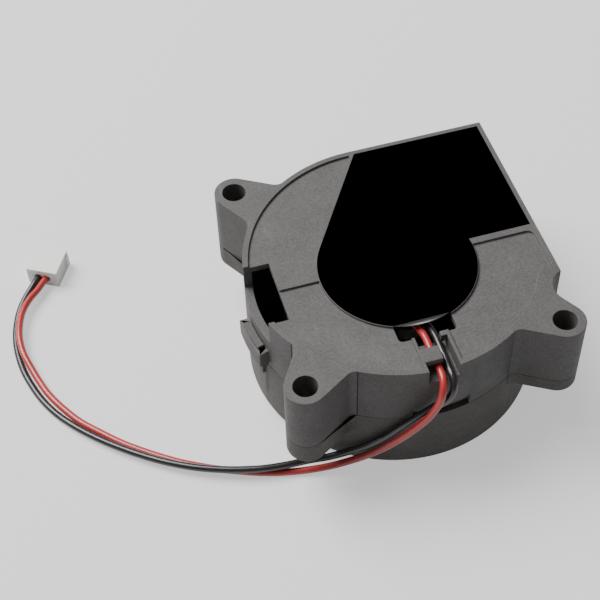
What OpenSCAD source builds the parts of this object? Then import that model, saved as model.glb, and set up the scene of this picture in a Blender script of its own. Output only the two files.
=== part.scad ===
// Radial blower, 40 x 40 x 20 mm class: scroll case in two snapped shells, three mounting
// ears, external-rotor brushless motor, two leads with a small crimp connector.
// The case lies on its inlet cover. +Z points to the label side, +X out of the air outlet.

/* [Case] */
// Side of the square that the ears and the outlet corner reach
case_w = 40; // [39.5:0.5:42]
// Height of the closed case
case_h = 20; // [19.5:0.5:22]
// Height of the upper shell, from the label face down to the seam
upper_h = 9.5; // [8.5:0.5:10.5]
// Thickness of the side walls
wall = 1.2; // [1.1:0.1:1.5]
// Thickness of the base plate that carries the motor
plate_t = 1.3; // [1.2:0.1:1.5]
// Thickness of the inlet cover's plate
cover_t = 1.2; // [1:0.1:1.4]
// Rounding of the cover's lower outside edge
edge_r = 1; // [0.6:0.1:1.2]
// Distance from the case centre to the outlet's tongue, towards the front
tongue_out = 9.5; // [9:0.5:10.5]
// Distance from the case centre to the rotor axis, towards the front
axis_off = 1.8; // [1.6:0.1:2]
// Radius of the inlet eye
inlet_r = 13; // [12.4:0.2:13.4]

/* [Mounting ears] */
// Radius of an ear's round end
ear_r = 2.75; // [2.6:0.05:3]
// Radius of the mounting holes
ear_hole_r = 1.6; // [1.5:0.05:1.8]
// Height of the two ears away from the outlet, from the label face down
ear_h = 13; // [12.4:0.2:13.4]
// Height of the ear beside the outlet, from the label face down
outlet_ear_h = 11.8; // [11.4:0.2:12.4]
// Half the angle at which an ear widens towards the case
ear_spread = 14; // [12:1:16]
// Radius of the fillets between the ears and the scroll
ear_fillet = 1.5; // [1:0.25:2]
// Rounding of an ear's lower edge
ear_edge_r = 0.3; // [0.2:0.05:0.5]

/* [Base plate] */
// Width of the raised rim and of the ribs between the pockets
rim_w = 0.8; // [0.7:0.1:1]
// Depth of the shallow pockets in the label face
pocket_d = 0.35; // [0.2:0.05:0.4]
// Radius of the thick middle of the plate, under the label
hub_r = 11.2; // [11:0.1:11.6]
// Width of the rim around the label
ring_w = 0.2; // [0.15:0.05:0.5]
// Radius of the label
label_r = 10.1; // [9.8:0.1:10.2]
// Thickness of the label
label_t = 0.15; // [0.1:0.05:0.2]
// Depth of the label's recess
label_d = 0.7; // [0.6:0.05:0.8]
// Width of the lead channel
channel_w = 4.1; // [3.9:0.1:4.4]
// Depth of the lead channel
channel_d = 2.2; // [2.1:0.1:2.4]
// Width of the slot that lets the leads up beside the label
slot_w = 7.8; // [7:0.2:8.4]
// Length of the side window in the wall and plate
window_l = 9.9; // [9:0.3:10.5]
// Reach of the side window into the plate
window_w = 3.9; // [3.3:0.2:4.1]
// Depth of the side window, from the label face down
window_d = 4; // [3.4:0.2:4.6]

/* [Snap] */
// How far the snap loop stands out of the side wall
loop_out = 1.4; // [1.3:0.1:1.6]
// Height of the snap loop
loop_h = 2.5; // [2.2:0.1:2.8]
// Thickness of the cover's latch tongue
latch_t = 0.5; // [0.4:0.05:0.55]

/* [Impeller] */
// Outer radius of the blade ring
impeller_r = 15.3; // [14.6:0.1:15.6]
// Number of blades
blade_count = 32; // [24:2:36]
// Thickness of a blade
blade_t = 0.6; // [0.5:0.05:0.7]
// Radial depth of the blades
blade_depth = 3.1; // [2.7:0.1:3.3]
// Gap between the cover's plate and the rotor
inlet_gap = 1.4; // [1.2:0.1:1.6]
// Gap between the base plate and the rotor
back_gap = 3.1; // [3:0.1:3.3]

/* [Motor] */
// Radius of the stator's pole faces
stator_r = 8.1; // [7.9:0.05:8.2]
// Running gap between the pole faces and the magnet
air_gap = 0.4; // [0.3:0.05:0.5]
// Radial thickness of the ring magnet
magnet_t = 1; // [0.8:0.05:1.1]
// Thickness of the steel yoke
yoke_t = 0.5; // [0.4:0.05:0.6]
// Room between the rotor's cap and the laminations, for the insulator and the coils
core_gap = 3.7; // [3.5:0.1:4.1]
// Width of a stator tooth
tooth_w = 2.4; // [2:0.1:2.8]
// Thickness of a coil around its tooth
coil_t = 1.2; // [0.9:0.1:1.3]
// Radius of the shaft
shaft_r = 1; // [0.9:0.05:1.1]
// Outer radius of the sleeve bearing
bearing_r = 2.5; // [2.3:0.05:2.6]
// Gap between the rotor's boss and the oil ring
oil_gap = 0.65; // [0.4:0.05:0.9]
// Thickness of the circuit board
board_t = 0.8; // [0.6:0.1:1]
// Radius of the circuit board
board_r = 8.3; // [8:0.1:8.8]

/* [Leads] */
// Diameter of a lead over its insulation
lead_d = 1; // [0.8:0.05:1.02]
// Width of the connector housing
plug_w = 4.8; // [4.6:0.1:5.2]
// Length of the connector housing
plug_l = 4.8; // [4.4:0.2:6]
// Thickness of the connector housing
plug_t = 3; // [2.9:0.1:3.4]
// Distance between the two contacts
plug_pitch = 1.25; // [1.15:0.05:1.7]

/* [Hidden] */
$fn = 96;
e = 0.01;
fit = 0.02;          // clearance between pieces pressed or glued together
slip = 0.05;         // clearance between pieces that slide into each other
run = 0.03;          // clearance between the shaft and its bearing

// Case
R = case_w / 2;
axis_y = -axis_off;
seam_z = case_h - upper_h;
plate_z = case_h - plate_t;
tongue_y = -tongue_out;
lip_t = 0.4;
lip_h = 0.7;
ear_at = R - ear_r;
EAR_Z = [case_h - ear_h, case_h - ear_h, case_h - outlet_ear_h];
ear_reach = ear_at * sqrt(2);
EARS = [[-1, 1], [-1, -1], [1, -1]];
tongue_fillet = 2.85;

// Label recess, lead channel and window
label_floor = case_h - label_d;
hub_floor_t = 0.8;
hub_under = label_floor - hub_floor_t;
recess_r = label_r + 0.4;
ring_r = recess_r + ring_w;
slot_in = axis_y - 8.6;
slot_out = axis_y - 12.3;
slot_corner = 0.6;
channel_x = 0.1;
channel_z = case_h - channel_d;
trough_wall = 1;
strap_w = 2.4;
strap_l = 2.2;
strap_t = 0.9;
strap_y = slot_out - 2;
lug_w = 0.8;
window_y = -1.35;
pocket_corner = 1;

// Snap loop, latch tongue and pry notch
loop_mid = 188.5;
loop_half = 9;
loop_z = seam_z + 0.7;
loop_wall = 0.65;
skin = 0.03;          // the slot in the loop stops this far short of the wall
slot_half = loop_half - 2.2;
latch_half = slot_half - 0.5;
notch_h = 2.1;
notch_d = 0.8;
notch_from = -101;
notch_to = -78.5;

// Rotor
cap_t = 1.2;
cap_z = cover_t + inlet_gap;
rotor_top = plate_z - back_gap;
disc_t = 0.8;
hub_wall = 0.8;
magnet_in = stator_r + air_gap;
magnet_out = magnet_in + magnet_t;
yoke_in = magnet_out + fit;
yoke_out = yoke_in + yoke_t;
hub_in = yoke_out + fit;
hub_out = hub_in + hub_wall;
boss_r = 2.2;
boss_z = cap_z + cap_t + 2;
yoke_z = cap_z + cap_t;
yoke_top = rotor_top - 1;
magnet_z = yoke_z + yoke_t + 0.9;
magnet_top = yoke_top - 0.3;
blade_in = impeller_r - blade_depth;
ring_t = 0.8;
ring_h = 1;
cup_r = 6.5;
cup_d = 0.4;

// Bearing and shaft
tube_wall = 0.75;
tube_r = bearing_r + tube_wall;
oil_t = 0.6;
oil_z = boss_z + oil_gap;
tube_lip = 0.8;
tube_z = oil_z + oil_t + slip;
bearing_z = tube_z + tube_lip;
bearing_top = hub_under - 2.6;
bearing_l = bearing_top - bearing_z;
washer_t = 0.2;
washer_z = bearing_top + slip;
clip_t = 0.4;
clip_z = washer_z + washer_t + slip;
clip_r = 1.9;
groove_r = shaft_r - 0.25;
shaft_z = cap_z + 0.5;
shaft_top = clip_z + clip_t + 0.5;

// Stator and circuit board
board_top = hub_under - 1.5;
board_z = board_top - board_t;
core_top = board_z - 3.4;
core_z = yoke_z + yoke_t + core_gap;
core_h = core_top - core_z;
core_in = tube_r + slip;
core_ring = core_in + 1.35;
shoe_t = 0.9;
shoe_half = 36;
TEETH = [0, 90, 180, 270];
insulator_t = 0.6;
insulator_side = 0.2;
collar_h = 2;
flange_t = 0.4;
flange_half = 17;
coil_in = core_ring + 0.35;
coil_out = (stator_r - shoe_t - flange_t) * cos(flange_half) - 0.05;
POSTS = [45, 135, 225];
post_at = core_ring - 0.1;
post_r = 0.9;
pin_r = 0.3;
pad_x = 0.8;
pad_y = axis_y - 6;

// Connector, where it lies on the surface
plug_at = [-45.6, 26.4, 0];
plug_turn = 60;

// The loop stands out of one side only, so the case is set over by half of it
// to keep the origin under the middle of the whole blower.
set_over = loop_out / 2;

// Lead routes, laid by hand from the solder pads to the connector
RED_ROUTE = [
    [-0.8, -8.4, 17.7], [-0.7, -10.4, 17.8], [-0.2, -13, 18.3], [-0.2, -15.5, 18.4],
    [-0.2, -17.5, 18.4], [-0.2, -19.1, 18.5], [-0.3, -20.3, 18.4], [-0.6, -21.3, 17.8],
    [-1, -21.9, 16.7], [-1.6, -22, 15.1], [-2.6, -21.9, 13.1], [-3.9, -21.5, 11],
    [-5.4, -20.9, 8.7], [-7.3, -20.1, 6.2], [-9.5, -19.2, 3.9], [-11.9, -18.3, 2.1],
    [-14.7, -17.6, 1], [-17.8, -17, 0.6], [-20.9, -16.3, 0.5], [-23.5, -15.5, 0.5],
    [-26, -14.5, 0.5], [-28.5, -13.4, 0.5], [-31, -12.1, 0.5], [-33.4, -10.7, 0.5],
    [-35.8, -9, 0.5], [-38.1, -7.2, 0.5], [-40.5, -5.1, 0.5], [-42.8, -2.7, 0.5],
    [-45.1, -0.1, 0.5], [-47, 2.9, 0.5], [-48.4, 5.7, 0.5], [-49.3, 8.3, 0.6],
    [-50, 10.8, 0.9], [-50.6, 13.3, 1.3], [-50.7, 15.9, 1.5], [-50.3, 18.5, 1.5],
    [-49.5, 20.8, 1.5], [-48.2, 22.8, 1.5], [-46.5, 24.5, 1.5], [-44.8, 26.6, 1.5]];
BLACK_ROUTE = [
    [0.8, -8.4, 17.7], [0.8, -10.4, 17.8], [1.1, -13.1, 18.3], [1.1, -15.5, 18.4],
    [1.1, -17.5, 18.4], [1, -18.9, 18.5], [1, -20.1, 18.4], [0.9, -21.1, 17.8],
    [0.5, -21.6, 16.6], [-0.3, -21.4, 15.1], [-1.6, -20.9, 13.7], [-3.3, -20.5, 12],
    [-5.2, -20, 9.9], [-7.2, -19.4, 7.4], [-9.3, -18.5, 5], [-11.7, -17.4, 3],
    [-14.2, -16.6, 1.7], [-16.9, -16.2, 1.5], [-19.9, -16.1, 1.6], [-23.1, -15.7, 1.6],
    [-26.1, -14.9, 1.5], [-28.6, -14, 1.4], [-31.1, -12.9, 1.3], [-33.5, -11.6, 1.2],
    [-36, -10, 1.1], [-38.4, -8.2, 1], [-41, -6, 0.9], [-43.4, -3.7, 0.8],
    [-45.8, -1, 0.7], [-47.9, 2, 0.5], [-49.4, 4.9, 0.5], [-50.4, 7.8, 0.5],
    [-51.1, 10.7, 0.5], [-51.4, 13.8, 0.5], [-51.3, 16.7, 0.5], [-50.8, 19.3, 0.5],
    [-50, 21.6, 0.6], [-48.8, 23.6, 0.9], [-47.2, 25.4, 1.4], [-45.8, 27.2, 1.5]];
lead_sides = 8;

// ---------- helpers ----------

module placed() translate([set_over, 0, 0]) children();

module on_axis() placed() translate([0, axis_y, 0]) children();

module ring(r_out, r_in, h) difference() {
    cylinder(h = h, r = r_out);
    translate([0, 0, -1]) cylinder(h = h + 2, r = r_in);
}

// A wedge of a flat ring, from angle a to angle b
module sector(r_out, r_in, h, a, b) rotate([0, 0, a])
    rotate_extrude(angle = b - a) translate([r_in, 0]) square([r_out - r_in, h]);

// Moves a shape drawn beside the origin to an ear, with +X towards the case centre
module at_ear(ear) translate([ear[0] * ear_at, ear[1] * ear_at])
    rotate(atan2(-ear[1], -ear[0])) children();

// ---------- outlines of the case ----------

function arc(c, r, a, b, n) = [for (i = [0 : n])
    c + r * [cos(a + (b - a) * i / n), sin(a + (b - a) * i / n)]];
function turned(list) = [for (i = [len(list) - 1 : -1 : 0]) list[i]];
function mirrored(list) = [for (p = list) [p[0], -p[1]]];
function angle_of(v) = atan2(v[1], v[0]);

// An ear is drawn with its centre at the origin and the case centre on +X
side_normal = [-sin(ear_spread), cos(ear_spread)];
side_way = [cos(ear_spread), sin(ear_spread)];
fillet_run = ear_reach * cos(ear_spread)
    - sqrt(pow(R + ear_fillet, 2) - pow(ear_r + ear_fillet + ear_reach * sin(ear_spread), 2));
fillet_at = (ear_r + ear_fillet) * side_normal + fillet_run * side_way;
fillet_end = angle_of([ear_reach, 0] - fillet_at) - 8;

// The same for the front right ear, seen with its outlet side up
function from_case(p) = [p[1] - p[0] + 2 * ear_at, p[0] + p[1]] / sqrt(2);
tongue_tip = from_case([R, tongue_y]);
tongue_off = tongue_tip * side_normal - ear_r - tongue_fillet;
tongue_run = tongue_tip * side_way - sqrt(pow(tongue_fillet, 2) - pow(tongue_off, 2));
hollow_at = (ear_r + tongue_fillet) * side_normal + tongue_run * side_way;
hollow_end = angle_of(tongue_tip - hollow_at);

// One side of an ear from its round end to the case, set in by a margin
function ear_side(margin) =
    arc(fillet_at, ear_fillet + margin, ear_spread - 90, fillet_end, 6);
function tongue_side() = concat(
    arc(hollow_at, tongue_fillet, ear_spread - 90, hollow_end, 10),
    [from_case([R, tongue_y + 2]), from_case([R - 6, tongue_y + 2])]);
function tongue_foot(margin) = concat(
    arc(hollow_at, tongue_fillet + margin, ear_spread - 90, -45, 3),
    [from_case([R - 3, tongue_y - 0.5])]);
function ear_ring(margin, other, bite) = concat([[ear_reach - R + bite, 0]], turned(ear_side(margin)),
    arc([0, 0], ear_r - margin, 90 + ear_spread, 270 - ear_spread, 20), mirrored(other));

module tongue_outline() at_ear(EARS[2]) mirror([0, 1]) polygon(concat(
    arc(hollow_at, tongue_fillet, -45, hollow_end, 8),
    [from_case([R, tongue_y + 2]), from_case([R - 6, tongue_y + 2]),
    from_case([R - 6, tongue_y + 2]) + 4 * [-1, -1] / sqrt(2)]));

// Scroll and outlet, set in by a margin from the outside and reaching out of the outlet
module duct_outline(margin, reach) {
    circle(R - margin);
    translate([0, tongue_y + margin]) square([R + reach, R - 2 * margin - tongue_y]);
}

module case_outline() {
    duct_outline(0, 0);
    for (k = [0 : 2]) at_ear(EARS[k]) polygon(ear_ring(0, k == 2 ? tongue_side() : ear_side(0), 3));
}

// ---------- upper shell ----------

module pocket_outline() difference() {
    duct_outline(rim_w, -rim_w);
    translate([0, axis_y]) circle(ring_r);
    translate([0, 0]) square([rim_w + 0.1, R]);
    translate([-R, axis_y + 0.2]) square([case_w, rim_w + 0.3]);
    translate([channel_x - channel_w / 2 - 0.45, -R]) square([channel_w + 0.9, R]);
    translate([R - rim_w - pocket_corner, axis_y + 0.2 - pocket_corner]) corner_fill();
}

// What a pocket's rounded corner leaves standing
module corner_fill() difference() {
    square(pocket_corner + 1);
    circle(pocket_corner);
}

module lead_slot() {
    half = slot_w / 2;
    translate([-half, slot_out + slot_corner]) square([slot_w, slot_in - slot_out - slot_corner]);
    translate([-half + slot_corner, slot_out]) square([slot_w - 2 * slot_corner, 1]);
    for (s = [-1, 1]) translate([s * (half - slot_corner), slot_out + slot_corner])
        circle(slot_corner);
}

module walls(from, to, thick) translate([0, 0, from]) linear_extrude(to - from) difference() {
    case_outline();
    duct_outline(thick, 1);
}

module frame_shell() difference() {
    union() {
        translate([0, 0, plate_z]) linear_extrude(plate_t) case_outline();
        walls(seam_z + lip_h + slip, plate_z, wall);
        // rebate for the cover's lip, filled behind the pry notch
        walls(seam_z, seam_z + lip_h + slip, wall - lip_t - slip);
        translate([0, 0, seam_z])
            sector(R - lip_t, R - wall, lip_h + slip + 0.2, notch_from, notch_to);
    }
    translate([0, 0, seam_z]) pry_notch();
}

// A shallow ramp that lets a blade in under the upper shell
module pry_notch() rotate([0, 0, notch_from]) rotate_extrude(angle = notch_to - notch_from)
    polygon([[R - notch_d, -1], [R - notch_d, 0], [R + e, notch_h], [R + 2, notch_h], [R + 2, -1]]);

module snap_loop() translate([0, 0, loop_z]) difference() {
    sector(R + loop_out, R - wall / 2, loop_h, loop_mid - loop_half, loop_mid + loop_half);
    translate([0, 0, -1]) sector(R + loop_out - loop_wall, R + skin, loop_h + 2,
        loop_mid - slot_half, loop_mid + slot_half);
}

module bearing_tube() translate([0, axis_y, 0]) {
    translate([0, 0, tube_z]) cylinder(h = hub_under - tube_z + e, r = tube_r);
    translate([0, 0, hub_under]) cylinder(h = plate_z - hub_under + e, r = hub_r);
}

module lead_strap() translate([channel_x - channel_w / 2 - 0.1, strap_y - strap_l, case_h - strap_t])
    cube([strap_w + 0.1, strap_l, strap_t]);

module lead_lug() translate([channel_x + channel_w / 2 - lug_w, slot_out - lug_w, case_h - strap_t])
    cube([lug_w + 0.1, lug_w, strap_t]);

module lead_trough() translate([channel_x - channel_w / 2 - trough_wall, -R + wall / 2,
    channel_z - trough_wall])
    cube([channel_w + 2 * trough_wall, R - wall / 2 + slot_out, trough_wall + channel_d - plate_t + e]);

module frame() placed() color([0.16, 0.155, 0.15]) {
    difference() {
        union() {
            frame_shell();
            bearing_tube();
            lead_trough();
            snap_loop();
        }
        // mounting holes
        for (ear = EARS) translate([ear[0] * ear_at, ear[1] * ear_at, seam_z - 1])
            cylinder(h = upper_h + 2, r = ear_hole_r, $fn = 48);
        // label recess, bearing seat and access to the clip
        translate([0, axis_y, label_floor]) cylinder(h = label_d + 1, r = recess_r);
        translate([0, axis_y, bearing_z]) cylinder(h = case_h, r = bearing_r + fit);
        translate([0, axis_y, tube_z - 1]) cylinder(h = 3, r = shaft_r + 0.6, $fn = 48);
        // shallow pockets
        translate([0, 0, case_h - pocket_d]) linear_extrude(pocket_d + 1) pocket_outline();
        // lead slot and channel
        translate([0, 0, hub_under - 1]) linear_extrude(case_h) lead_slot();
        translate([channel_x - channel_w / 2, -R - 1, channel_z])
            cube([channel_w, R + 1 + slot_out + 0.1, channel_d + 1]);
        // side window
        translate([-R - 1, window_y - window_l / 2, case_h - window_d])
            cube([1 + window_w, window_l, window_d + 1]);
    }
    lead_strap();
    lead_lug();
}

// ---------- cover ----------

// Round part of the cover with a rounded lower edge
module round_tub(h) rotate_extrude() {
    square([R - edge_r, h]);
    translate([0, edge_r]) square([R, h - edge_r]);
    translate([R - edge_r, edge_r]) intersection() {
        circle(edge_r, $fn = 48);
        translate([0, -edge_r]) square(edge_r);
    }
}

// Straight outlet part of the cover, its long edge rounded alike
module outlet_tub(h) {
    translate([0, tongue_y, 0]) cube([R, R - tongue_y - edge_r, h]);
    translate([0, 0, edge_r]) cube([R, R, h - edge_r]);
    translate([0, R - edge_r, edge_r]) rotate([0, 90, 0]) cylinder(h = R, r = edge_r, $fn = 48);
}

// Lower end of an ear, from its rounded edge up to the seam
module ear_foot(k) {
    steps = 4;
    margins = [for (i = [0 : steps]) ear_edge_r * (1 - sin(90 * i / steps))];
    rises = [for (i = [0 : steps]) ear_edge_r * (1 - cos(90 * i / steps))];
    rings = [for (i = [0 : steps + 1])
        let(m = i > steps ? 0 : margins[i], z = i > steps ? seam_z : EAR_Z[k] + rises[i])
        [for (p = ear_ring(m, k == 2 ? tongue_foot(m) : ear_side(m), 0.4)) [p[0], p[1], z]]];
    n = len(rings[0]);
    last = steps + 1;
    sides = [for (i = [0 : last - 1], j = [0 : n - 1])
        [i * n + j, (i + 1) * n + j, (i + 1) * n + (j + 1) % n, i * n + (j + 1) % n]];
    translate([EARS[k][0] * ear_at, EARS[k][1] * ear_at, 0])
        rotate([0, 0, atan2(-EARS[k][1], -EARS[k][0])])
        polyhedron([for (r = rings) each r], concat([[for (j = [0 : n - 1]) j]], sides,
        [[for (j = [n - 1 : -1 : 0]) last * n + j]]));
}

module cover_lip() translate([0, 0, seam_z - 1]) linear_extrude(1 + lip_h) difference() {
    intersection() {
        duct_outline(wall - lip_t, 0);
        translate([-R, -R]) square([case_w - 0.4, case_w]);
    }
    polygon([[0, 0], for (a = [notch_from - 1, notch_to + 1]) 2 * R * [cos(a), sin(a)]]);
}

// Tongue that springs up through the frame's loop, with a barb over it
module latch() {
    slot_r = R + loop_out - loop_wall;
    barb_z = loop_z + loop_h + slip;
    translate([0, 0, seam_z - 2.4]) sector(R + slip + latch_t, R - wall / 2, 2.4 - slip,
        loop_mid - latch_half, loop_mid + latch_half);
    translate([0, 0, seam_z - 1]) sector(R + slip + latch_t, R + skin + slip, barb_z + 0.45 - seam_z + 1,
        loop_mid - latch_half, loop_mid + latch_half);
    translate([0, 0, barb_z]) sector(slot_r + 0.3, R + skin + slip, 0.45,
        loop_mid - latch_half, loop_mid + latch_half);
}

module cover() placed() color([0.14, 0.135, 0.13]) difference() {
    union() {
        difference() {
            union() {
                round_tub(seam_z);
                outlet_tub(seam_z);
                linear_extrude(seam_z) tongue_outline();
                for (k = [0 : 2]) ear_foot(k);
                cover_lip();
            }
            translate([0, 0, cover_t]) linear_extrude(case_h) duct_outline(wall, 1);
        }
        latch();
    }
    for (k = [0 : 2]) translate([EARS[k][0] * ear_at, EARS[k][1] * ear_at, EAR_Z[k] - 1])
        cylinder(h = seam_z + 2 - EAR_Z[k], r = ear_hole_r, $fn = 48);
    translate([0, axis_y, -1]) cylinder(h = cover_t + 2, r = inlet_r);
    translate([0, axis_y, -e]) cylinder(h = 0.6, r1 = inlet_r + 0.6, r2 = inlet_r);
}

// ---------- label ----------

module label() on_axis() color([0.93, 0.93, 0.9])
    translate([0, 0, label_floor + fit]) cylinder(h = label_t, r = label_r);

// ---------- rotor ----------

// A forward-curved blade: a slice of a thin round shell, its tip leading the turn
module blade(h) {
    curve_r = blade_depth * 0.9;
    mid_r = impeller_r - blade_depth / 2;
    intersection() {
        translate([mid_r - 0.5, curve_r * 0.72, 0]) difference() {
            cylinder(h = h, r = curve_r + blade_t / 2, $fn = 48);
            translate([0, 0, -1]) cylinder(h = h + 2, r = curve_r - blade_t / 2, $fn = 48);
        }
        translate([blade_in, -blade_depth, 0]) cube([blade_depth + 1, blade_depth * 1.75, h]);
    }
}

module impeller() on_axis() color([0.13, 0.13, 0.135]) {
    difference() {
        union() {
            translate([0, 0, cap_z]) cylinder(h = rotor_top - cap_z, r = hub_out);
            intersection() {
                translate([0, 0, cap_z]) ring(impeller_r, hub_out - 0.2, rotor_top - cap_z);
                union() {
                    translate([0, 0, rotor_top - disc_t]) cylinder(h = disc_t, r = impeller_r);
                    translate([0, 0, cap_z]) ring(impeller_r, impeller_r - ring_t, ring_h);
                    for (k = [1 : blade_count]) rotate([0, 0, k * 360 / blade_count])
                        translate([0, 0, cap_z]) blade(rotor_top - cap_z - disc_t + 0.1);
                }
            }
        }
        translate([0, 0, cap_z + cap_t]) ring(hub_in, boss_r, case_h);
        translate([0, 0, boss_z]) cylinder(h = case_h, r = hub_in);
        translate([0, 0, shaft_z]) cylinder(h = case_h, r = shaft_r + fit, $fn = 48);
        translate([0, 0, cap_z - 1]) cylinder(h = 1 + cup_d, r = cup_r);
    }
}

module rotor_yoke() on_axis() color([0.62, 0.63, 0.65]) translate([0, 0, yoke_z + fit]) {
    ring(yoke_out, boss_r + fit, yoke_t);
    ring(yoke_out, yoke_in, yoke_top - yoke_z - fit);
}

module ring_magnet() on_axis() color([0.22, 0.22, 0.23])
    translate([0, 0, magnet_z]) ring(magnet_out, magnet_in, magnet_top - magnet_z);

module shaft() on_axis() color([0.75, 0.76, 0.78]) difference() {
    translate([0, 0, shaft_z + fit]) cylinder(h = shaft_top - shaft_z - fit, r = shaft_r, $fn = 48);
    translate([0, 0, clip_z - fit]) ring(shaft_r + 1, groove_r, clip_t + 2 * fit);
}

module oil_ring() on_axis() color([0.1, 0.1, 0.1])
    translate([0, 0, oil_z]) ring(shaft_r + 0.9, shaft_r + fit, oil_t);

module retaining_clip() on_axis() color([0.8, 0.78, 0.7]) translate([0, 0, clip_z]) difference() {
    ring(clip_r, groove_r + fit, clip_t);
    translate([0, -0.35, -1]) cube([clip_r + 1, 0.7, clip_t + 2]);
}

// ---------- bearing and stator ----------

module sleeve_bearing() on_axis() color([0.7, 0.5, 0.3])
    translate([0, 0, bearing_z + fit]) ring(bearing_r, shaft_r + run, bearing_l - fit);

module thrust_washer() on_axis() color([0.85, 0.85, 0.8])
    translate([0, 0, washer_z - slip + fit]) ring(bearing_r - 0.3, shaft_r + run, washer_t);

module stator_core() on_axis() color([0.5, 0.52, 0.55]) translate([0, 0, core_z]) {
    ring(core_ring, core_in, core_h);
    for (a = TEETH) rotate([0, 0, a]) {
        translate([core_ring - 0.3, -tooth_w / 2, 0])
            cube([stator_r - shoe_t - core_ring + 0.6, tooth_w, core_h]);
        sector(stator_r, stator_r - shoe_t, core_h, -shoe_half, shoe_half);
    }
}

// A moulded half that covers one face of the core, with a collar and coil flanges
module insulator() {
    half_w = tooth_w / 2 + insulator_side;
    ring(core_ring, core_in, insulator_t + collar_h);
    for (a = TEETH) rotate([0, 0, a]) {
        translate([core_ring - 0.3, -half_w, 0])
            cube([stator_r - shoe_t - core_ring + 0.5, 2 * half_w, insulator_t]);
        sector(stator_r - shoe_t + 0.1, stator_r - shoe_t - flange_t, insulator_t + coil_t + 0.3,
            -flange_half, flange_half);
    }
}

module upper_insulator() on_axis() color([0.88, 0.86, 0.8]) translate([0, 0, core_top + fit])
    difference() {
        union() {
            insulator();
            for (a = POSTS) rotate([0, 0, a]) translate([post_at, 0, 0])
                cylinder(h = board_z - core_top - 2 * fit, r = post_r, $fn = 32);
        }
        translate([0, 0, -1]) cylinder(h = 10, r = core_in);
        for (a = POSTS) rotate([0, 0, a]) translate([post_at, 0, insulator_t])
            cylinder(h = 10, r = pin_r + fit, $fn = 24);
    }

module lower_insulator() on_axis() color([0.88, 0.86, 0.8]) translate([0, 0, core_z - fit])
    mirror([0, 0, 1]) insulator();

// A box with its four long edges rounded, lying along X
module rounded_bar(l, w, h, r) {
    translate([0, -w / 2 + r, -h / 2]) cube([l, w - 2 * r, h]);
    translate([0, -w / 2, -h / 2 + r]) cube([l, w, h - 2 * r]);
    for (y = [-1, 1], z = [-1, 1]) translate([0, y * (w / 2 - r), z * (h / 2 - r)])
        rotate([0, 90, 0]) cylinder(h = l, r = r, $fn = 32);
}

// The winding around one tooth
module coil(k) on_axis() color([0.75, 0.4, 0.2]) rotate([0, 0, TEETH[k]])
    translate([coil_in, 0, core_z + core_h / 2]) {
        inner_w = tooth_w + 2 * insulator_side + 2 * fit;
        inner_h = core_h + 2 * insulator_t + 4 * fit;
        difference() {
            rounded_bar(coil_out - coil_in, inner_w + 2 * coil_t, inner_h + 2 * coil_t, coil_t * 0.9);
            translate([-1, -inner_w / 2, -inner_h / 2]) cube([10, inner_w, inner_h]);
        }
    }

// ---------- circuit board ----------

module winding_pins() on_axis() color([0.8, 0.75, 0.5]) for (a = POSTS) rotate([0, 0, a])
    translate([post_at, 0, core_top + insulator_t + 2 * fit])
    cylinder(h = board_top + 0.7 - core_top - insulator_t, r = pin_r, $fn = 24);

module circuit_board() on_axis() color([0.15, 0.35, 0.2]) translate([0, 0, board_z]) difference() {
    ring(board_r, tube_r + 0.15, board_t);
    for (a = POSTS) rotate([0, 0, a]) translate([post_at, 0, -1])
        cylinder(h = board_t + 2, r = pin_r + slip, $fn = 24);
}

module hall_sensor() on_axis() color([0.12, 0.12, 0.12]) rotate([0, 0, 315])
    translate([stator_r - 2.2, -1.5, board_z - 0.9]) cube([1.6, 3, 0.9]);

module driver_chip() on_axis() color([0.1, 0.1, 0.11]) rotate([0, 0, 10])
    translate([4.2, -1.5, board_top]) cube([3, 3, 1]);

module capacitor() on_axis() color([0.6, 0.45, 0.3]) rotate([0, 0, 90])
    translate([5, -1, board_top]) cube([1.2, 2, 0.9]);

module solder_joints() placed() color([0.7, 0.7, 0.72]) for (s = [-1, 1])
    translate([s * pad_x, pad_y, board_top]) cylinder(h = 1.1, r = 0.58, $fn = 24);

// ---------- leads and connector ----------

function unit(v) = v / norm(v);
function heading(route, i) = unit(route[min(i + 1, len(route) - 1)] - route[max(i - 1, 0)]);
function side_of(d) = unit(cross(d, abs(d[2]) > 0.95 ? [1, 0, 0] : [0, 0, 1]));

// The points of one ring of the tube, square to the route
function lead_ring(p, d) = [for (k = [0 : lead_sides - 1])
    let(a = 360 * (k + 0.5) / lead_sides, s = side_of(d), u = cross(s, d))
    p + lead_d / 2 * (cos(a) * s + sin(a) * u)];

module lead_tube(route) {
    n = len(route);
    m = lead_sides;
    points = [for (i = [0 : n - 1]) each lead_ring(route[i], heading(route, i))];
    sides = [for (i = [0 : n - 2], k = [0 : m - 1])
        [i * m + k, i * m + (k + 1) % m, (i + 1) * m + (k + 1) % m, (i + 1) * m + k]];
    start = [for (k = [0 : m - 1]) m - 1 - k];
    finish = [for (k = [0 : m - 1]) (n - 1) * m + k];
    polyhedron(points, [for (f = concat([start], sides, [finish])) [for (j = [len(f) - 1 : -1 : 0]) f[j]]]);
}

module red_lead() placed() color([0.62, 0.12, 0.12]) lead_tube(RED_ROUTE);

module black_lead() placed() color([0.08, 0.08, 0.08]) lead_tube(BLACK_ROUTE);

module at_plug() placed() translate(plug_at) rotate([0, 0, plug_turn - 90]) children();

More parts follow.
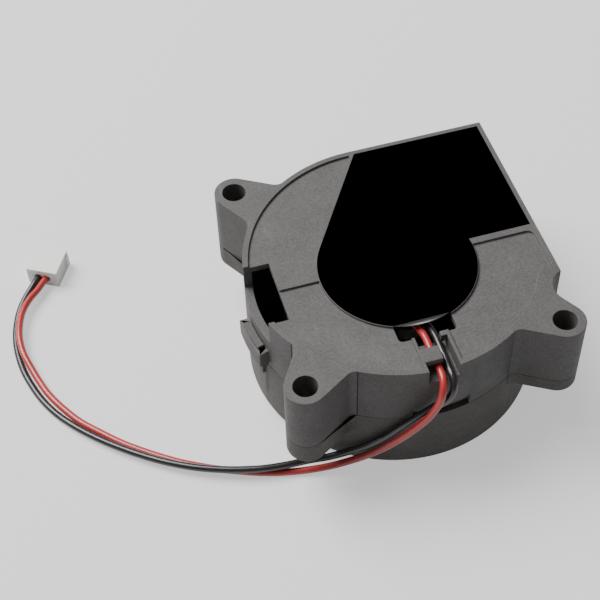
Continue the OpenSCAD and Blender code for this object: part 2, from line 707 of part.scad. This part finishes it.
module connector_housing() at_plug() color([0.93, 0.92, 0.88]) difference() {
    union() {
        translate([-plug_w / 2, 0, 0]) cube([plug_w, plug_l, plug_t]);
        translate([-plug_w / 2 - 0.3, plug_l - 1.2, 0.5]) cube([plug_w + 0.6, 0.8, plug_t - 1]);
    }
    for (s = [-1, 1]) translate([s * plug_pitch / 2, 0, plug_t / 2]) {
        rotate([-90, 0, 0]) translate([0, 0, -1]) cylinder(h = 2, r = lead_d / 2 + slip, $fn = 32);
        translate([-0.6, 0.9, -0.6]) cube([1.2, plug_l, 1.2]);
    }
}

module crimp_terminals() at_plug() color([0.8, 0.8, 0.82]) for (s = [-1, 1])
    translate([s * plug_pitch / 2, 1, plug_t / 2]) difference() {
        translate([-0.5, 0, -0.55]) cube([1, plug_l - 1.6, 1.1]);
        translate([-0.3, 0.8, -0.35]) cube([0.6, plug_l, 0.7]);
    }

frame();
cover();
label();
impeller();
rotor_yoke();
ring_magnet();
shaft();
oil_ring();
sleeve_bearing();
thrust_washer();
retaining_clip();
stator_core();
upper_insulator();
lower_insulator();
coil(0);  // coil_1
coil(1);  // coil_2
coil(2);  // coil_3
coil(3);  // coil_4
winding_pins();
circuit_board();
hall_sensor();
driver_chip();
capacitor();
solder_joints();
red_lead();
black_lead();
connector_housing();
crimp_terminals();
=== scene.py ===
# Radial blower with three mounting ears, two leads and a small crimp connector.
from math import radians

import bmesh
import bpy
from mathutils import Matrix, Vector


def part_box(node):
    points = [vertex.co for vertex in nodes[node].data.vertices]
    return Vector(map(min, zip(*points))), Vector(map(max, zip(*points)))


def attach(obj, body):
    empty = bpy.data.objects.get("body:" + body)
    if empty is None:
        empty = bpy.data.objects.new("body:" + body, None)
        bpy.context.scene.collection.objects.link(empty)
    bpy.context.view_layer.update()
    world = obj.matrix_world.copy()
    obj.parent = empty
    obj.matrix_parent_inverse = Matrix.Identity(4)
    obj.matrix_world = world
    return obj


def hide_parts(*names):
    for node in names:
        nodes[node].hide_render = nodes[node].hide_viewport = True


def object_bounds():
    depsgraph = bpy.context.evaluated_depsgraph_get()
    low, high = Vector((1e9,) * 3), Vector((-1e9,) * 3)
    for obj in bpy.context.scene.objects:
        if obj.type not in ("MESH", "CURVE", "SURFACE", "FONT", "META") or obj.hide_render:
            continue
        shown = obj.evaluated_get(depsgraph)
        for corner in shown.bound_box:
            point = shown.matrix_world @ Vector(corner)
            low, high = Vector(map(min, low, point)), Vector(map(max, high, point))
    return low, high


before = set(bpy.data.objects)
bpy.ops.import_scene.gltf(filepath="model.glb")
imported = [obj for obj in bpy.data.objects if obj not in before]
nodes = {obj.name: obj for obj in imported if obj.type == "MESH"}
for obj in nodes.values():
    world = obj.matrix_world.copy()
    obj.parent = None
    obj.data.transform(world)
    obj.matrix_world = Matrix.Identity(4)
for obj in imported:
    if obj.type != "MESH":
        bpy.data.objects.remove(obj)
cad_low, cad_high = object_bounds()

MM = 0.001
# the snap loop stands out of one side only, so the case is set over by half of it
SET_OVER = 0.7 * MM


def place(x, y, z):
    """A point given in the case's own millimetres."""
    return Vector((x * MM + SET_OVER, y * MM, z * MM))


# ---------------------------------------------------------------- camera

SENSOR_MM = 36.0
LENS_MM = 83.14
NEAREST_SEEN = 0.005
CAMERA_AT = place(-43.10, -113.44, 158.76)
CAMERA_RIGHT = Vector((0.9585, -0.2841, -0.0233))
CAMERA_AHEAD = Vector((0.1624, 0.6113, -0.7745))

camera_data = bpy.data.cameras.new("camera")
camera = bpy.data.objects.new("camera", camera_data)
bpy.context.scene.collection.objects.link(camera)
camera_data.sensor_width = SENSOR_MM
camera_data.lens = LENS_MM
camera_data.clip_start = NEAREST_SEEN
right = CAMERA_RIGHT.normalized()
ahead = (CAMERA_AHEAD - right * CAMERA_AHEAD.dot(right)).normalized()
up = right.cross(ahead)
camera.matrix_world = Matrix.Translation(CAMERA_AT) @ Matrix(
    (
        (right.x, up.x, -ahead.x, 0),
        (right.y, up.y, -ahead.y, 0),
        (right.z, up.z, -ahead.z, 0),
        (0, 0, 0, 1),
    )
)
bpy.context.scene.camera = camera


# ---------------------------------------------------------------- mesh helpers


def new_piece(name, mesh, body, material):
    """A modelled piece that moves with a body and wears one material."""
    piece = bpy.data.objects.new(name, mesh)
    bpy.context.scene.collection.objects.link(piece)
    mesh.materials.append(material)
    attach(piece, body)
    return piece


def mesh_of(bm, name):
    """A smooth-shaded mesh of the bmesh, which is freed."""
    bmesh.ops.recalc_face_normals(bm, faces=bm.faces)
    mesh = bpy.data.meshes.new(name)
    for face in bm.faces:
        face.smooth = True
    bm.to_mesh(mesh)
    bm.free()
    return mesh


def crease(mesh, angle):
    """Marks the edges sharper than the angle, so that the rest shades smooth."""
    mesh.set_sharp_from_angle(angle=radians(angle))


# ---------------------------------------------------------------- shader groups


def start_group(name, inputs, outputs):
    """A node group with float inputs (name, value) and outputs (name, kind)."""
    group = bpy.data.node_groups.new(name, "ShaderNodeTree")
    for label, value in inputs:
        socket = group.interface.new_socket(label, in_out="INPUT", socket_type="NodeSocketFloat")
        socket.default_value = value
    for label, kind in outputs:
        group.interface.new_socket(label, in_out="OUTPUT", socket_type=kind)
    return group, group.nodes.new("NodeGroupInput"), group.nodes.new("NodeGroupOutput")


def math(tree, kind, a, b, clamp=False):
    """One operation on two values, each a number or a socket."""
    node = tree.nodes.new("ShaderNodeMath")
    node.operation = kind
    node.use_clamp = clamp
    for index, value in enumerate((a, b)):
        if isinstance(value, (int, float)):
            node.inputs[index].default_value = value
        else:
            tree.links.new(value, node.inputs[index])
    return node.outputs[0]


def noise(tree, vector, scale, detail=2.0, roughness=0.5):
    """A noise of 0..1, where scale (a number or a socket) counts its waves per metre."""
    node = tree.nodes.new("ShaderNodeTexNoise")
    node.inputs["Detail"].default_value = detail
    node.inputs["Roughness"].default_value = roughness
    if isinstance(scale, (int, float)):
        node.inputs["Scale"].default_value = scale
    else:
        tree.links.new(scale, node.inputs["Scale"])
    tree.links.new(vector, node.inputs["Vector"])
    return node.outputs["Fac"]


def weighed(tree, first, share, second):
    """The first value by its share, plus the second by the rest."""
    return math(
        tree, "ADD", math(tree, "MULTIPLY", first, share), math(tree, "MULTIPLY", second, 1 - share)
    )


def spark_texture():
    """The pitted finish of an eroded mould: a height, a speckle and soft blotches, all round 0.5."""
    group, get, put = start_group(
        "spark_texture",
        [("Grain", 6500.0), ("Blotch", 260.0)],
        [("Height", "NodeSocketFloat"), ("Speckle", "NodeSocketFloat"), ("Blotches", "NodeSocketFloat")],
    )
    where = group.nodes.new("ShaderNodeTexCoord").outputs["Object"]
    coarser = math(group, "MULTIPLY", get.outputs["Grain"], 0.53)
    pits = noise(group, where, get.outputs["Grain"], detail=3.0, roughness=0.6)
    grains = noise(group, where, coarser, detail=2.0, roughness=0.7)
    blotches = noise(group, where, get.outputs["Blotch"], detail=4.0, roughness=0.6)
    height = weighed(group, pits, 0.6, grains)
    group.links.new(height, put.inputs["Height"])
    group.links.new(grains, put.inputs["Speckle"])
    group.links.new(blotches, put.inputs["Blotches"])
    return group


def rub_marks():
    """Sparse faint handling marks: 0 where clean, up to 1 in the marks."""
    group, get, put = start_group(
        "rub_marks",
        [("Scale", 900.0), ("Amount", 0.5)],
        [("Marks", "NodeSocketFloat")],
    )
    where = group.nodes.new("ShaderNodeTexCoord").outputs["Object"]
    stretch = group.nodes.new("ShaderNodeMapping")
    stretch.inputs["Scale"].default_value = (1.0, 0.22, 1.0)
    stretch.inputs["Rotation"].default_value = (0.0, 0.0, 0.6)
    group.links.new(where, stretch.inputs["Vector"])
    streaks = noise(group, stretch.outputs[0], get.outputs["Scale"], detail=3.0, roughness=0.65)
    patches = noise(group, where, scale=180.0)
    raised = math(group, "MULTIPLY", math(group, "SUBTRACT", streaks, 0.56, True), 6.0, True)
    zone = math(group, "MULTIPLY", math(group, "SUBTRACT", patches, 0.48, True), 5.0, True)
    marks = math(group, "MULTIPLY", math(group, "MULTIPLY", raised, zone), get.outputs["Amount"])
    group.links.new(marks, put.inputs["Marks"])
    return group


SPARK = spark_texture()
RUBS = rub_marks()


def start_material(name):
    """A new material, its node tree and its shader."""
    material = bpy.data.materials.new(name)
    material.use_nodes = True
    tree = material.node_tree
    shader = next(n for n in tree.nodes if n.type == "BSDF_PRINCIPLED")
    return material, tree, shader


def use_group(tree, group, **values):
    """The group as a node of the tree, with the inputs that are named set."""
    node = tree.nodes.new("ShaderNodeGroup")
    node.node_tree = group
    for label, value in values.items():
        node.inputs[label].default_value = value
    return node


def mix_colours(tree, factor, first, second):
    """The first colour where the factor is 0 and the second where it is 1."""
    node = tree.nodes.new("ShaderNodeMix")
    node.data_type = "RGBA"
    sockets = (node.inputs[6], node.inputs[7])
    for socket, value in zip(sockets, (first, second)):
        if isinstance(value, tuple):
            socket.default_value = (*value, 1.0)
        else:
            tree.links.new(value, socket)
    tree.links.new(factor, node.inputs[0])
    return node.outputs[2]


def ramp(tree, value, stops):
    """Colours spread over a value of 0..1, given as (position, colour) stops."""
    node = tree.nodes.new("ShaderNodeValToRGB")
    while len(node.color_ramp.elements) < len(stops):
        node.color_ramp.elements.new(0.5)
    for element, (position, colour) in zip(node.color_ramp.elements, stops):
        element.position = position
        element.color = (*colour, 1.0)
    tree.links.new(value, node.inputs[0])
    return node.outputs[0]


def bump(tree, shader, height, distance, strength):
    """Presses a height of 0..1 into the surface, as deep as the distance in metres."""
    node = tree.nodes.new("ShaderNodeBump")
    node.inputs["Strength"].default_value = strength
    node.inputs["Distance"].default_value = distance
    tree.links.new(height, node.inputs["Height"])
    tree.links.new(node.outputs[0], shader.inputs["Normal"])


def between(tree, value, low, high):
    """Value 0..1 spread from low to high."""
    node = tree.nodes.new("ShaderNodeMapRange")
    node.inputs["To Min"].default_value = low
    node.inputs["To Max"].default_value = high
    tree.links.new(value, node.inputs["Value"])
    return node.outputs[0]


def moulded_plastic(name, dark, light, roughness, grain=6500.0, depth=0.012 * MM, rub=0.4):
    """Dark engineering plastic with a spark finish, faint blotches and rub marks."""
    material, tree, shader = start_material(name)
    spark = use_group(tree, SPARK, Grain=grain)
    rubs = use_group(tree, RUBS, Amount=rub)
    tone = weighed(tree, spark.outputs["Speckle"], 0.75, spark.outputs["Blotches"])
    base = ramp(tree, tone, [(0.32, dark), (0.68, light)])
    marked = mix_colours(tree, rubs.outputs["Marks"], base, tuple(c * 1.5 for c in light))
    tree.links.new(marked, shader.inputs["Base Color"])
    uneven = between(tree, spark.outputs["Blotches"], roughness + 0.08, roughness - 0.08)
    polished = math(tree, "MULTIPLY", rubs.outputs["Marks"], 0.15)
    rough = math(tree, "SUBTRACT", uneven, polished, clamp=True)
    tree.links.new(rough, shader.inputs["Roughness"])
    shader.inputs["IOR"].default_value = 1.5
    bump(tree, shader, spark.outputs["Height"], distance=depth, strength=0.7)
    return material


def swayed(colour, sway):
    """Two ramp stops: the colour a share darker and the same share lighter."""
    darker = tuple(c * (1 - sway) for c in colour)
    lighter = tuple(min(1.0, c * (1 + sway)) for c in colour)
    return [(0.3, darker), (0.7, lighter)]


def smooth_plastic(name, colour, roughness, sway=0.06, subsurface=0.0):
    """Glossy or satin plastic with slow colour sway and a faint orange peel."""
    material, tree, shader = start_material(name)
    where = tree.nodes.new("ShaderNodeTexCoord").outputs["Object"]
    slow = noise(tree, where, scale=350.0, detail=3.0)
    peel = noise(tree, where, scale=2600.0)
    tree.links.new(ramp(tree, slow, swayed(colour, sway)), shader.inputs["Base Color"])
    tree.links.new(between(tree, peel, roughness - 0.05, roughness + 0.08), shader.inputs["Roughness"])
    shader.inputs["IOR"].default_value = 1.5
    if subsurface:
        shader.inputs["Subsurface Weight"].default_value = subsurface
        shader.inputs["Subsurface Radius"].default_value = (0.0012, 0.001, 0.0008)
        shader.inputs["Subsurface Scale"].default_value = 1.0
    bump(tree, shader, peel, distance=0.006 * MM, strength=0.5)
    return material


def metal(name, colour, roughness, brushed=0.0):
    """Metal with a mottled sheen and a fine grain, drawn out into lines where it is brushed."""
    material, tree, shader = start_material(name)
    where = tree.nodes.new("ShaderNodeTexCoord").outputs["Object"]
    stretch = tree.nodes.new("ShaderNodeMapping")
    stretch.inputs["Scale"].default_value = (1.0, 1.0, 12.0 if brushed else 1.0)
    tree.links.new(where, stretch.inputs["Vector"])
    lines = noise(tree, stretch.outputs[0], scale=3000.0, detail=3.0, roughness=0.6)
    mottle = noise(tree, where, scale=700.0, detail=3.0)
    base = ramp(tree, mottle, [(0.3, tuple(c * 0.86 for c in colour)), (0.7, colour)])
    tree.links.new(base, shader.inputs["Base Color"])
    shader.inputs["Metallic"].default_value = 1.0
    rough = between(tree, lines, max(0.05, roughness - 0.1), roughness + 0.12)
    tree.links.new(rough, shader.inputs["Roughness"])
    bump(tree, shader, lines, distance=0.008 * MM, strength=0.3 + brushed)
    return material


# the print, in millimetres from the label's middle, with +y pointing away from the lead slot
BAND = (-3.2, 2.9)
PANEL_HALF = 4.85
PANEL = (3.4, 7.65)
LINE_IN = 0.35
LINE_LOW = 0.32
LINE_WIDE = 0.28


def label_print(name):
    """White film with a plain olive band and a blue panel that has a white line inside its edge."""
    material, tree, shader = start_material(name)
    where = tree.nodes.new("ShaderNodeTexCoord").outputs["Object"]
    centred = tree.nodes.new("ShaderNodeMapping")
    centre = (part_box("label")[0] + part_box("label")[1]) / 2
    centred.inputs["Location"].default_value = (-centre.x, -centre.y, 0.0)
    tree.links.new(where, centred.inputs["Vector"])
    split = tree.nodes.new("ShaderNodeSeparateXYZ")
    tree.links.new(centred.outputs[0], split.inputs[0])
    x, y = split.outputs["X"], split.outputs["Y"]

    def span(value, low, high):
        above = math(tree, "GREATER_THAN", value, low * MM)
        below = math(tree, "LESS_THAN", value, high * MM)
        return math(tree, "MULTIPLY", above, below)

    def panel(half, low, high):
        return math(tree, "MULTIPLY", span(x, -half, half), span(y, low, high))

    def inset(sides, ends):
        return panel(PANEL_HALF - sides, PANEL[0] + ends, PANEL[1] - ends)

    band = span(y, *BAND)
    blue = inset(0, 0)
    line = math(
        tree, "SUBTRACT", inset(LINE_IN, LINE_LOW), inset(LINE_IN + LINE_WIDE, LINE_LOW + LINE_WIDE)
    )
    fibres = noise(tree, where, scale=5200.0, detail=3.0, roughness=0.6)
    stock = ramp(tree, fibres, [(0.3, (0.84, 0.84, 0.83)), (0.7, (0.9, 0.9, 0.89))])
    olive = ramp(tree, fibres, [(0.3, (0.38, 0.33, 0.05)), (0.7, (0.45, 0.395, 0.07))])
    ink = ramp(tree, fibres, [(0.3, (0.032, 0.075, 0.19)), (0.7, (0.045, 0.1, 0.24))])
    printed = mix_colours(tree, band, stock, olive)
    printed = mix_colours(tree, blue, printed, ink)
    printed = mix_colours(tree, line, printed, stock)
    tree.links.new(printed, shader.inputs["Base Color"])
    tree.links.new(between(tree, fibres, 0.5, 0.66), shader.inputs["Roughness"])
    shader.inputs["Specular IOR Level"].default_value = 0.25
    bump(tree, shader, fibres, distance=0.004 * MM, strength=0.4)
    return material


def insulation(name, colour, tint):
    """Glossy extruded PVC, slightly uneven along its length."""
    material, tree, shader = start_material(name)
    where = tree.nodes.new("ShaderNodeTexCoord").outputs["Object"]
    slow = noise(tree, where, scale=220.0, detail=3.0)
    fine = noise(tree, where, scale=3800.0)
    base = ramp(tree, slow, [(0.3, colour), (0.7, tint)])
    tree.links.new(base, shader.inputs["Base Color"])
    tree.links.new(between(tree, fine, 0.24, 0.4), shader.inputs["Roughness"])
    shader.inputs["IOR"].default_value = 1.53
    shader.inputs["Coat Weight"].default_value = 0.25
    shader.inputs["Coat Roughness"].default_value = 0.1
    bump(tree, shader, fine, distance=0.01 * MM, strength=0.35)
    return material


def circuit_mask(name):
    """Green solder mask with copper tracks showing faintly through it."""
    material, tree, shader = start_material(name)
    where = tree.nodes.new("ShaderNodeTexCoord").outputs["Object"]
    cells = tree.nodes.new("ShaderNodeTexVoronoi")
    cells.feature = "DISTANCE_TO_EDGE"
    cells.inputs["Scale"].default_value = 520.0
    tree.links.new(where, cells.inputs["Vector"])
    tracks = math(tree, "LESS_THAN", cells.outputs["Distance"], 0.12)
    base = mix_colours(tree, tracks, (0.012, 0.075, 0.03), (0.03, 0.17, 0.06))
    tree.links.new(base, shader.inputs["Base Color"])
    fine = noise(tree, where, scale=2500.0)
    tree.links.new(between(tree, fine, 0.22, 0.36), shader.inputs["Roughness"])
    bump(tree, shader, tracks, distance=0.02 * MM, strength=0.6)
    return material


def winding(name):
    """Enamelled wire laid turn beside turn, with painted shade in the grooves between turns."""
    material, tree, shader = start_material(name)
    where = tree.nodes.new("ShaderNodeTexCoord").outputs["Object"]
    wave = tree.nodes.new("ShaderNodeTexWave")
    wave.bands_direction = "DIAGONAL"
    wave.inputs["Scale"].default_value = 2200.0
    wave.inputs["Distortion"].default_value = 0.6
    tree.links.new(where, wave.inputs["Vector"])
    # copper on the crests of the turns, darkening to painted shade in the grooves, where the bump sinks
    base = ramp(tree, wave.outputs["Fac"], [(0.0, (0.16, 0.05, 0.015)), (0.6, (0.62, 0.27, 0.09))])
    tree.links.new(base, shader.inputs["Base Color"])
    shader.inputs["Metallic"].default_value = 0.75
    tree.links.new(between(tree, wave.outputs["Fac"], 0.45, 0.22), shader.inputs["Roughness"])
    bump(tree, shader, wave.outputs["Fac"], distance=0.06 * MM, strength=0.8)
    return material


# ---------------------------------------------------------------- materials

CASE = moulded_plastic("case_plastic", (0.060, 0.057, 0.056), (0.112, 0.106, 0.104), 0.66)
COVER = moulded_plastic("cover_plastic", (0.054, 0.051, 0.048), (0.098, 0.093, 0.088), 0.68)
IMPELLER = moulded_plastic(
    "impeller_plastic", (0.022, 0.022, 0.023), (0.04, 0.04, 0.042), 0.42,
    grain=3000.0, depth=0.006 * MM, rub=0.2,
)
LABEL = label_print("label_film")
RED_PVC = insulation("red_pvc", (0.40, 0.026, 0.024), (0.47, 0.04, 0.034))
BLACK_PVC = insulation("black_pvc", (0.011, 0.010, 0.010), (0.018, 0.016, 0.016))
NYLON = smooth_plastic("connector_nylon", (0.86, 0.85, 0.82), 0.38, sway=0.02, subsurface=0.25)
CONTACT = metal("tinned_contact", (0.7, 0.69, 0.68), 0.3)
YOKE_STEEL = metal("yoke_steel", (0.5, 0.51, 0.53), 0.35, brushed=0.5)
CORE_STEEL = metal("core_steel", (0.3, 0.32, 0.36), 0.42, brushed=0.6)
SHAFT_STEEL = metal("shaft_steel", (0.72, 0.72, 0.73), 0.14)
SOLDER = metal("solder", (0.62, 0.62, 0.64), 0.22)
BRONZE = metal("bearing_bronze", (0.45, 0.27, 0.13), 0.45)
FERRITE = moulded_plastic("magnet", (0.03, 0.03, 0.032), (0.055, 0.055, 0.058), 0.55, grain=3500.0)
RUBBER = smooth_plastic("oil_ring_rubber", (0.02, 0.02, 0.02), 0.6)
WASHER = smooth_plastic("washer_nylon", (0.74, 0.72, 0.64), 0.35, sway=0.03, subsurface=0.2)
BOBBIN = smooth_plastic("insulator_nylon", (0.68, 0.64, 0.54), 0.42, sway=0.04, subsurface=0.15)
BOARD = circuit_mask("board_laminate")
WIRE = winding("enamelled_wire")
EPOXY = smooth_plastic("chip_epoxy", (0.018, 0.018, 0.019), 0.5)
CERAMIC = smooth_plastic("capacitor_ceramic", (0.32, 0.2, 0.1), 0.45)

# ---------------------------------------------------------------- leads

LEAD_WIDE = 1.0 * MM
# a point lower than this rests on the table, so the lead runs level there
RESTS_BELOW = 0.55 * MM

# each route runs from the solder joint to the crimp, in the case's own millimetres
RED_ROUTE = [
    (-0.8, -8.4, 17.7), (-0.7, -10.4, 17.8), (-0.2, -13, 18.3), (-0.2, -15.5, 18.4),
    (-0.2, -17.5, 18.4), (-0.2, -19.1, 18.5), (-0.3, -20.3, 18.4), (-0.6, -21.3, 17.8),
    (-1, -21.9, 16.7), (-1.6, -22, 15.1), (-2.6, -21.9, 13.1), (-3.9, -21.5, 11),
    (-5.4, -20.9, 8.7), (-7.3, -20.1, 6.2), (-9.5, -19.2, 3.9), (-11.9, -18.3, 2.1),
    (-14.7, -17.6, 1), (-17.8, -17, 0.6), (-20.9, -16.3, 0.5), (-23.5, -15.5, 0.5),
    (-26, -14.5, 0.5), (-28.5, -13.4, 0.5), (-31, -12.1, 0.5), (-33.4, -10.7, 0.5),
    (-35.8, -9, 0.5), (-38.1, -7.2, 0.5), (-40.5, -5.1, 0.5), (-42.8, -2.7, 0.5),
    (-45.1, -0.1, 0.5), (-47, 2.9, 0.5), (-48.4, 5.7, 0.5), (-49.3, 8.3, 0.6),
    (-50, 10.8, 0.9), (-50.6, 13.3, 1.3), (-50.7, 15.9, 1.5), (-50.3, 18.5, 1.5),
    (-49.5, 20.8, 1.5), (-48.2, 22.8, 1.5), (-46.5, 24.5, 1.5), (-44.8, 26.6, 1.5),
]
BLACK_ROUTE = [
    (0.8, -8.4, 17.7), (0.8, -10.4, 17.8), (1.1, -13.1, 18.3), (1.1, -15.5, 18.4),
    (1.1, -17.5, 18.4), (1, -18.9, 18.5), (1, -20.1, 18.4), (0.9, -21.1, 17.8),
    (0.5, -21.6, 16.6), (-0.3, -21.4, 15.1), (-1.6, -20.9, 13.7), (-3.3, -20.5, 12),
    (-5.2, -20, 9.9), (-7.2, -19.4, 7.4), (-9.3, -18.5, 5), (-11.7, -17.4, 3),
    (-14.2, -16.6, 1.7), (-16.9, -16.2, 1.5), (-19.9, -16.1, 1.6), (-23.1, -15.7, 1.6),
    (-26.1, -14.9, 1.5), (-28.6, -14, 1.4), (-31.1, -12.9, 1.3), (-33.5, -11.6, 1.2),
    (-36, -10, 1.1), (-38.4, -8.2, 1), (-41, -6, 0.9), (-43.4, -3.7, 0.8),
    (-45.8, -1, 0.7), (-47.9, 2, 0.5), (-49.4, 4.9, 0.5), (-50.4, 7.8, 0.5),
    (-51.1, 10.7, 0.5), (-51.4, 13.8, 0.5), (-51.3, 16.7, 0.5), (-50.8, 19.3, 0.5),
    (-50, 21.6, 0.6), (-48.8, 23.6, 0.9), (-47.2, 25.4, 1.4), (-45.8, 27.2, 1.5),
]


def lead(name, route, node, material):
    """An insulated lead: one smooth curve through its route."""
    curve = bpy.data.curves.new(name, "CURVE")
    curve.dimensions = "3D"
    curve.resolution_u = 8
    curve.bevel_depth = LEAD_WIDE / 2
    curve.bevel_resolution = 4
    curve.use_fill_caps = True
    points = [place(*p) for p in route]
    spline = curve.splines.new("BEZIER")
    spline.bezier_points.add(len(points) - 1)
    for index, knot in enumerate(spline.bezier_points):
        before = points[max(index - 1, 0)]
        after = points[min(index + 1, len(points) - 1)]
        pull = (after - before) / 6
        if points[index].z < RESTS_BELOW:
            pull.z = 0.0
        knot.handle_left_type = knot.handle_right_type = "FREE"
        knot.co = points[index]
        knot.handle_left = points[index] - pull
        knot.handle_right = points[index] + pull
    piece = bpy.data.objects.new(name, curve)
    bpy.context.scene.collection.objects.link(piece)
    curve.materials.append(material)
    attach(piece, "case")
    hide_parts(node)
    return piece


lead_red = lead("lead_red", RED_ROUTE, "red_lead", RED_PVC)
lead_black = lead("lead_black", BLACK_ROUTE, "black_lead", BLACK_PVC)

# ---------------------------------------------------------------- moulded shells


MERGE_WITHIN = 0.018 * MM
FLAT_WITHIN = radians(0.6)
SHARP_FROM = 32


def moulded_copy(node, name, body, material, rounding):
    """The node's own shape, with facets joined into faces and edges broken as a mould leaves them."""
    bm = bmesh.new()
    bm.from_mesh(nodes[node].data)
    bmesh.ops.remove_doubles(bm, verts=bm.verts, dist=MERGE_WITHIN)
    bmesh.ops.dissolve_limit(
        bm, angle_limit=FLAT_WITHIN, use_dissolve_boundaries=False, verts=bm.verts, edges=bm.edges,
    )
    piece = new_piece(name, mesh_of(bm, name), body, material)
    crease(piece.data, SHARP_FROM)
    edges = piece.modifiers.new("broken_edges", "BEVEL")
    edges.width = rounding * MM
    edges.segments = 2
    edges.limit_method = "ANGLE"
    edges.angle_limit = radians(SHARP_FROM)
    edges.use_clamp_overlap = False
    edges.harden_normals = True
    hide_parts(node)
    return piece


moulded_copy("frame", "frame_shell", "case", CASE, 0.1)
moulded_copy("cover", "cover_shell", "case", COVER, 0.08)
moulded_copy("impeller", "blade_wheel", "rotor", IMPELLER, 0.06)
connector_shell = moulded_copy(
    "connector_housing", "connector_shell", "case", NYLON, 0.12,
)

# ---------------------------------------------------------------- finishes of the other parts


def finish(material, *names):
    """Gives the named parts one material."""
    for name in names:
        mesh = nodes[name].data
        if mesh.materials:
            for index in range(len(mesh.materials)):
                mesh.materials[index] = material
        else:
            mesh.materials.append(material)


finish(LABEL, "label")
finish(YOKE_STEEL, "rotor_yoke")
finish(FERRITE, "ring_magnet")
finish(SHAFT_STEEL, "shaft")
finish(RUBBER, "oil_ring")
finish(BRONZE, "sleeve_bearing")
finish(WASHER, "thrust_washer", "retaining_clip")
finish(CORE_STEEL, "stator_core")
finish(BOBBIN, "upper_insulator", "lower_insulator")
finish(WIRE, "coil_1", "coil_2", "coil_3", "coil_4")
finish(CONTACT, "winding_pins", "crimp_terminals")
finish(BOARD, "circuit_board")
finish(EPOXY, "hall_sensor", "driver_chip")
finish(CERAMIC, "capacitor")
finish(SOLDER, "solder_joints")

# ---------------------------------------------------------------- floor, backdrop and light

FLOOR_HALF = 1.6
FLOOR_GAP = 0.02 * MM
FLOOR_LIFT = 0.62
ROOM_LIGHT = 0.22
KEY_AT = (-0.3, 0.3, 0.6)
KEY_SIDE = 0.5
KEY_WATTS = 10.5

floor_mesh = bpy.data.meshes.new("floor")
bm = bmesh.new()
bmesh.ops.create_grid(bm, x_segments=1, y_segments=1, size=FLOOR_HALF)
bm.to_mesh(floor_mesh)
bm.free()
floor = bpy.data.objects.new("floor", floor_mesh)
bpy.context.scene.collection.objects.link(floor)
floor.location.z = cad_low[2] - FLOOR_GAP

floor_paper, tree, shader = start_material("floor_paper")
shader.inputs["Base Color"].default_value = (0.5, 0.5, 0.5, 1)
shader.inputs["Roughness"].default_value = 0.9
shader.inputs["Specular IOR Level"].default_value = 0.0
sees = tree.nodes.new("ShaderNodeLightPath")
seen = math(tree, "MAXIMUM", sees.outputs["Is Camera Ray"], sees.outputs["Is Glossy Ray"])
seen = math(tree, "MAXIMUM", seen, sees.outputs["Is Transmission Ray"])
shader.inputs["Emission Color"].default_value = (1, 1, 1, 1)
lift = math(tree, "MULTIPLY", seen, FLOOR_LIFT)
tree.links.new(lift, shader.inputs["Emission Strength"])
floor_mesh.materials.append(floor_paper)

world = bpy.data.worlds.new("studio")
bpy.context.scene.world = world
world.use_nodes = True
tree = world.node_tree
tree.nodes.clear()
out = tree.nodes.new("ShaderNodeOutputWorld")
room = tree.nodes.new("ShaderNodeBackground")
room.inputs["Color"].default_value = (1, 1, 1, 1)
room.inputs["Strength"].default_value = ROOM_LIGHT
white = tree.nodes.new("ShaderNodeBackground")
white.inputs["Color"].default_value = (1, 1, 1, 1)
white.inputs["Strength"].default_value = 1.0
choose = tree.nodes.new("ShaderNodeMixShader")
sees = tree.nodes.new("ShaderNodeLightPath")
tree.links.new(sees.outputs["Is Camera Ray"], choose.inputs[0])
tree.links.new(room.outputs[0], choose.inputs[1])
tree.links.new(white.outputs[0], choose.inputs[2])
tree.links.new(choose.outputs[0], out.inputs[0])


def softbox(name, position, target, side, watts):
    """A square soft light aimed at a point, both in metres."""
    data = bpy.data.lights.new(name, "AREA")
    data.shape = "SQUARE"
    data.size = side
    data.energy = watts
    light = bpy.data.objects.new(name, data)
    bpy.context.scene.collection.objects.link(light)
    light.location = position
    toward = Vector(target) - Vector(position)
    light.rotation_euler = toward.to_track_quat("-Z", "Y").to_euler()


softbox("key", KEY_AT, (0.0, 0.0, 0.012), KEY_SIDE, KEY_WATTS)
